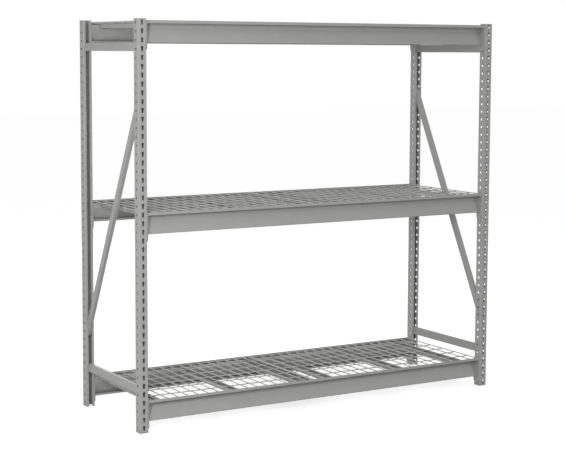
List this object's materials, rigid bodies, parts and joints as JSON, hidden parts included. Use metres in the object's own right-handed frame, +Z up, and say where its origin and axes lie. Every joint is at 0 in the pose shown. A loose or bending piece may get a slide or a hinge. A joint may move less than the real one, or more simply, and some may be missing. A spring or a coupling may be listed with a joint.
{
  "type": "boltless steel shelving",
  "caption": "Free-standing boltless steel shelving with welded end frames, step beams hooked into punched posts and lift-off welded wire deck panels.",
  "frame": {"origin": "on the floor, in the middle of the unit", "axes": "+X along the width to the right, +Y from the front to the back, +Z up"},
  "size_m": [1.946, 0.63, 1.8288],
  "materials": {
    "frame_paint": "satin grey paint, light orange peel",
    "beam_paint": "satin grey paint",
    "deck_paint": "satin grey paint on welded wire"
  },
  "bodies": {
    "frames": {"post_front_left": "frame_paint", "post_rear_left": "frame_paint", "left_frame_bottom_strut": "frame_paint", "left_frame_top_strut": "frame_paint", "left_frame_diagonal": "frame_paint", "post_front_right": "frame_paint", "post_rear_right": "frame_paint", "right_frame_bottom_strut": "frame_paint", "right_frame_top_strut": "frame_paint", "right_frame_diagonal": "frame_paint"},
    "front_beam_bottom": {"front_beam_bottom": "beam_paint", "front_beam_bottom_left_end_plate": "beam_paint", "front_beam_bottom_right_end_plate": "beam_paint", "centre_support_bottom": "deck_paint"},
    "rear_beam_bottom": {"rear_beam_bottom": "beam_paint", "rear_beam_bottom_left_end_plate": "beam_paint", "rear_beam_bottom_right_end_plate": "beam_paint"},
    "left_deck_panel_bottom": {"left_wire_panel_bottom": "deck_paint", "left_panel_channels_bottom": "deck_paint"},
    "right_deck_panel_bottom": {"right_wire_panel_bottom": "deck_paint", "right_panel_channels_bottom": "deck_paint"},
    "front_beam_middle": {"front_beam_middle": "beam_paint", "front_beam_middle_left_end_plate": "beam_paint", "front_beam_middle_right_end_plate": "beam_paint", "centre_support_middle": "deck_paint"},
    "rear_beam_middle": {"rear_beam_middle": "beam_paint", "rear_beam_middle_left_end_plate": "beam_paint", "rear_beam_middle_right_end_plate": "beam_paint"},
    "left_deck_panel_middle": {"left_wire_panel_middle": "deck_paint", "left_panel_channels_middle": "deck_paint"},
    "right_deck_panel_middle": {"right_wire_panel_middle": "deck_paint", "right_panel_channels_middle": "deck_paint"},
    "front_beam_top": {"front_beam_top": "beam_paint", "front_beam_top_left_end_plate": "beam_paint", "front_beam_top_right_end_plate": "beam_paint", "centre_support_top": "deck_paint"},
    "rear_beam_top": {"rear_beam_top": "beam_paint", "rear_beam_top_left_end_plate": "beam_paint", "rear_beam_top_right_end_plate": "beam_paint"},
    "left_deck_panel_top": {"left_wire_panel_top": "deck_paint", "left_panel_channels_top": "deck_paint"},
    "right_deck_panel_top": {"right_wire_panel_top": "deck_paint", "right_panel_channels_top": "deck_paint"}
  },
  "joints": [
    {"name": "front_beam_bottom_lift", "type": "slide", "parent": "frames", "child": "front_beam_bottom", "axis": [0, 0, 1], "range_m": [0, 0.006]},
    {"name": "rear_beam_bottom_lift", "type": "slide", "parent": "frames", "child": "rear_beam_bottom", "axis": [0, 0, 1], "range_m": [0, 0.006]},
    {"name": "left_deck_panel_bottom_lift_off", "type": "slide", "parent": "front_beam_bottom", "child": "left_deck_panel_bottom", "axis": [0, 0, 1], "range_m": [0, 0.4]},
    {"name": "right_deck_panel_bottom_lift_off", "type": "slide", "parent": "front_beam_bottom", "child": "right_deck_panel_bottom", "axis": [0, 0, 1], "range_m": [0, 0.4]},
    {"name": "front_beam_middle_lift", "type": "slide", "parent": "frames", "child": "front_beam_middle", "axis": [0, 0, 1], "range_m": [0, 0.006]},
    {"name": "rear_beam_middle_lift", "type": "slide", "parent": "frames", "child": "rear_beam_middle", "axis": [0, 0, 1], "range_m": [0, 0.006]},
    {"name": "left_deck_panel_middle_lift_off", "type": "slide", "parent": "front_beam_middle", "child": "left_deck_panel_middle", "axis": [0, 0, 1], "range_m": [0, 0.4]},
    {"name": "right_deck_panel_middle_lift_off", "type": "slide", "parent": "front_beam_middle", "child": "right_deck_panel_middle", "axis": [0, 0, 1], "range_m": [0, 0.4]},
    {"name": "front_beam_top_lift", "type": "slide", "parent": "frames", "child": "front_beam_top", "axis": [0, 0, 1], "range_m": [0, 0.006]},
    {"name": "rear_beam_top_lift", "type": "slide", "parent": "frames", "child": "rear_beam_top", "axis": [0, 0, 1], "range_m": [0, 0.006]},
    {"name": "left_deck_panel_top_lift_off", "type": "slide", "parent": "front_beam_top", "child": "left_deck_panel_top", "axis": [0, 0, 1], "range_m": [0, 0.4]},
    {"name": "right_deck_panel_top_lift_off", "type": "slide", "parent": "front_beam_top", "child": "right_deck_panel_top", "axis": [0, 0, 1], "range_m": [0, 0.4]}
  ],
  "couplings": [
    {"joint": "rear_beam_bottom_lift", "follows": "front_beam_bottom_lift", "ratio": 1},
    {"joint": "rear_beam_middle_lift", "follows": "front_beam_middle_lift", "ratio": 1},
    {"joint": "rear_beam_top_lift", "follows": "front_beam_top_lift", "ratio": 1}
  ]
}
